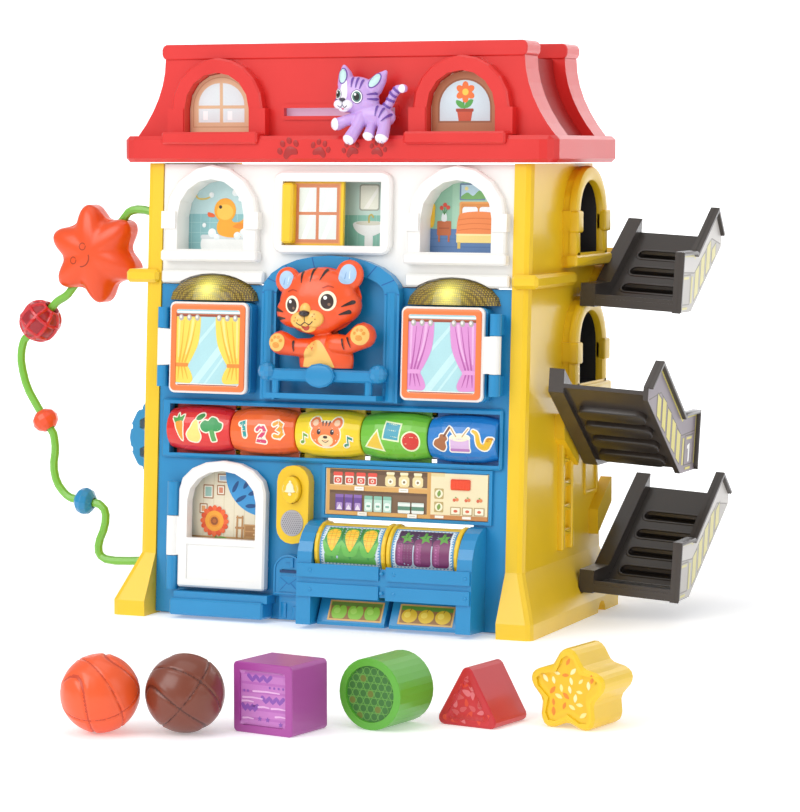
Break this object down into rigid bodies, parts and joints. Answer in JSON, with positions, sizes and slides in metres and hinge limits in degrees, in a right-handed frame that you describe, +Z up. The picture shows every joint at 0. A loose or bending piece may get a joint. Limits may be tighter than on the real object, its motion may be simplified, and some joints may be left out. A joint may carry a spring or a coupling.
{
  "type": "learning house toy",
  "caption": "Three-storey toy play house with a shop counter, piano keys, opening door and shutters, ball stairs, a bead wire and loose shape blocks.",
  "frame": {"origin": "on the ground under the middle of the house, on the underside of the base tray", "axes": "+Z up, -Y out of the front with the door, +X to the side with the ball stairs"},
  "size_m": [0.6711, 0.719, 0.45],
  "materials": {
    "yellow_plastic": "glossy moulded",
    "blue_plastic": "glossy moulded",
    "white_plastic": "glossy moulded",
    "printed_board": "printed picture board",
    "gold_lens": "translucent moulded",
    "steel": "drawn wire",
    "orange_plastic": "glossy moulded",
    "red_plastic": "glossy moulded",
    "green_plastic": "glossy moulded",
    "green_board": "solder mask",
    "black_plastic": "matte",
    "dark_red_plastic": "glossy moulded",
    "lavender_plastic": "glossy moulded",
    "green_coating": "coated wire",
    "soft_orange": "soft moulded",
    "dark_grey_plastic": "satin moulded",
    "orange_matte": "satin moulded",
    "brown_matte": "satin moulded",
    "purple_plastic": "glossy moulded"
  },
  "bodies": {
    "root": {"back_panel_lower": "yellow_plastic", "back_panel_upper": "white_plastic", "balcony": "blue_plastic", "base_tray": "blue_plastic", "battery_box": "black_plastic", "battery_cover": "white_plastic", "bead_wire": "green_coating", "circuit_board": "green_board", "counter": "blue_plastic", "door_card": "printed_board", "door_pin": "steel", "doorbell_plate": "yellow_plastic", "dormer_pane_left": "printed_board", "dormer_pane_right": "printed_board", "drum_axle": "steel", "inner_ramp": "red_plastic", "lamp_lens_left": "gold_lens", "lamp_lens_right": "gold_lens", "lower_facade": "blue_plastic", "roof_shell": "red_plastic", "roof_trough": "dark_red_plastic", "shelf_card": "printed_board", "shutter_pin_left": "steel", "shutter_pin_right": "steel", "shutter_window_card": "printed_board", "side_wall_left": "yellow_plastic", "side_wall_right": "yellow_plastic", "speaker": "black_plastic", "stair_bottom": "dark_grey_plastic", "stair_middle": "dark_grey_plastic", "stair_top": "dark_grey_plastic", "upper_facade": "white_plastic", "upper_window_card": "printed_board"},
    "kitten": {"kitten_slider": "lavender_plastic"},
    "window_pane": {"sliding_window": "yellow_plastic"},
    "shutter_left": {"shutter_left": "white_plastic"},
    "shutter_right": {"shutter_right": "white_plastic"},
    "front_door": {"front_door": "white_plastic"},
    "tiger_button": {"tiger_button": "orange_plastic"},
    "key_red": {"key_red": "red_plastic"},
    "key_orange": {"key_orange": "orange_plastic"},
    "key_yellow": {"key_yellow": "yellow_plastic"},
    "key_green": {"key_green": "green_plastic"},
    "key_blue": {"key_blue": "blue_plastic"},
    "bell_button": {"bell_button": "yellow_plastic"},
    "power_switch": {"power_switch": "red_plastic"},
    "drum_left": {"drum_left": "yellow_plastic"},
    "drum_right": {"drum_right": "yellow_plastic"},
    "side_wheel": {"side_wheel": "blue_plastic"},
    "star_bead": {"star_bead": "soft_orange"},
    "lattice_bead": {"lattice_bead": "red_plastic"},
    "small_bead": {"small_bead": "orange_plastic"},
    "blue_bead": {"blue_bead": "blue_plastic"},
    "ball_orange": {"ball_orange": "orange_matte"},
    "ball_brown": {"ball_brown": "brown_matte"},
    "block_cube": {"block_cube": "purple_plastic"},
    "block_cylinder": {"block_cylinder": "green_plastic"},
    "block_triangle": {"block_triangle": "red_plastic"},
    "block_star": {"block_star": "yellow_plastic"}
  },
  "joints": [
    {"name": "kitten_slides", "type": "slide", "parent": "root", "child": "kitten", "axis": [1, 0, 0], "range_m": [-0.06, 0]},
    {"name": "window_slides", "type": "slide", "parent": "root", "child": "window_pane", "axis": [1, 0, 0], "range_m": [0, 0.03]},
    {"name": "shutter_left_swings", "type": "hinge", "parent": "root", "child": "shutter_left", "pos_m": [-0.14, -0.08382, 0.1769], "axis": [0, -0.0598, -0.9982], "range_deg": [0, 110]},
    {"name": "shutter_right_swings", "type": "hinge", "parent": "root", "child": "shutter_right", "pos_m": [0.14, -0.08382, 0.1769], "axis": [0, 0.0598, 0.9982], "range_deg": [0, 110]},
    {"name": "front_door_swings", "type": "hinge", "parent": "root", "child": "front_door", "pos_m": [-0.1305, -0.08798, 0.02388], "axis": [0, -0.0598, -0.9982], "range_deg": [0, 105]},
    {"name": "tiger_button_push", "type": "slide", "parent": "root", "child": "tiger_button", "axis": [0, 0.9982, -0.0598], "range_m": [0, 0.003], "stiffness_N_per_m": 500},
    {"name": "key_red_push", "type": "slide", "parent": "root", "child": "key_red", "axis": [0, 0.9982, -0.0598], "range_m": [0, 0.003], "stiffness_N_per_m": 500},
    {"name": "key_orange_push", "type": "slide", "parent": "root", "child": "key_orange", "axis": [0, 0.9982, -0.0598], "range_m": [0, 0.003], "stiffness_N_per_m": 500},
    {"name": "key_yellow_push", "type": "slide", "parent": "root", "child": "key_yellow", "axis": [0, 0.9982, -0.0598], "range_m": [0, 0.003], "stiffness_N_per_m": 500},
    {"name": "key_green_push", "type": "slide", "parent": "root", "child": "key_green", "axis": [0, 0.9982, -0.0598], "range_m": [0, 0.003], "stiffness_N_per_m": 500},
    {"name": "key_blue_push", "type": "slide", "parent": "root", "child": "key_blue", "axis": [0, 0.9982, -0.0598], "range_m": [0, 0.003], "stiffness_N_per_m": 500},
    {"name": "bell_button_push", "type": "slide", "parent": "root", "child": "bell_button", "axis": [0, 0.9982, -0.0598], "range_m": [0, 0.002], "stiffness_N_per_m": 400},
    {"name": "power_switch_slides", "type": "slide", "parent": "root", "child": "power_switch", "axis": [1, 0, 0], "range_m": [0, 0.008]},
    {"name": "drum_left_turns", "type": "hinge", "parent": "root", "child": "drum_left", "pos_m": [0.0301, -0.08386, 0.05919], "axis": [1, 0, 0], "continuous": true},
    {"name": "drum_right_turns", "type": "hinge", "parent": "root", "child": "drum_right", "pos_m": [0.0899, -0.08386, 0.05919], "axis": [1, 0, 0], "continuous": true},
    {"name": "side_wheel_turns", "type": "hinge", "parent": "root", "child": "side_wheel", "pos_m": [-0.1525, -0.044, 0.136], "axis": [0, 1, 0], "continuous": true},
    {"name": "star_bead_spins", "type": "hinge", "parent": "root", "child": "star_bead", "pos_m": [-0.244, 0.005, 0.282], "axis": [0.6416, 0, 0.767], "continuous": true},
    {"name": "lattice_bead_spins", "type": "hinge", "parent": "root", "child": "lattice_bead", "pos_m": [-0.299, 0.005, 0.225], "axis": [0.693, 0, 0.721], "continuous": true},
    {"name": "small_bead_spins", "type": "hinge", "parent": "root", "child": "small_bead", "pos_m": [-0.295, 0.005, 0.142], "axis": [-0.5549, 0, 0.8319], "continuous": true},
    {"name": "blue_bead_spins", "type": "hinge", "parent": "root", "child": "blue_bead", "pos_m": [-0.258, 0.005, 0.0755], "axis": [-0.99, 0, 0.141], "continuous": true},
    {"name": "ball_orange_lifts", "type": "slide", "parent": "root", "child": "ball_orange", "axis": [0, 0, 1], "range_m": [0, 0.1]},
    {"name": "ball_brown_lifts", "type": "slide", "parent": "root", "child": "ball_brown", "axis": [0, 0, 1], "range_m": [0, 0.1]},
    {"name": "block_cube_lifts", "type": "slide", "parent": "root", "child": "block_cube", "axis": [0, 0, 1], "range_m": [0, 0.1]},
    {"name": "block_cylinder_lifts", "type": "slide", "parent": "root", "child": "block_cylinder", "axis": [0, 0, 1], "range_m": [0, 0.1]},
    {"name": "block_triangle_lifts", "type": "slide", "parent": "root", "child": "block_triangle", "axis": [0, 0, 1], "range_m": [0, 0.1]},
    {"name": "block_star_lifts", "type": "slide", "parent": "root", "child": "block_star", "axis": [0, 0, 1], "range_m": [0, 0.1]}
  ]
}
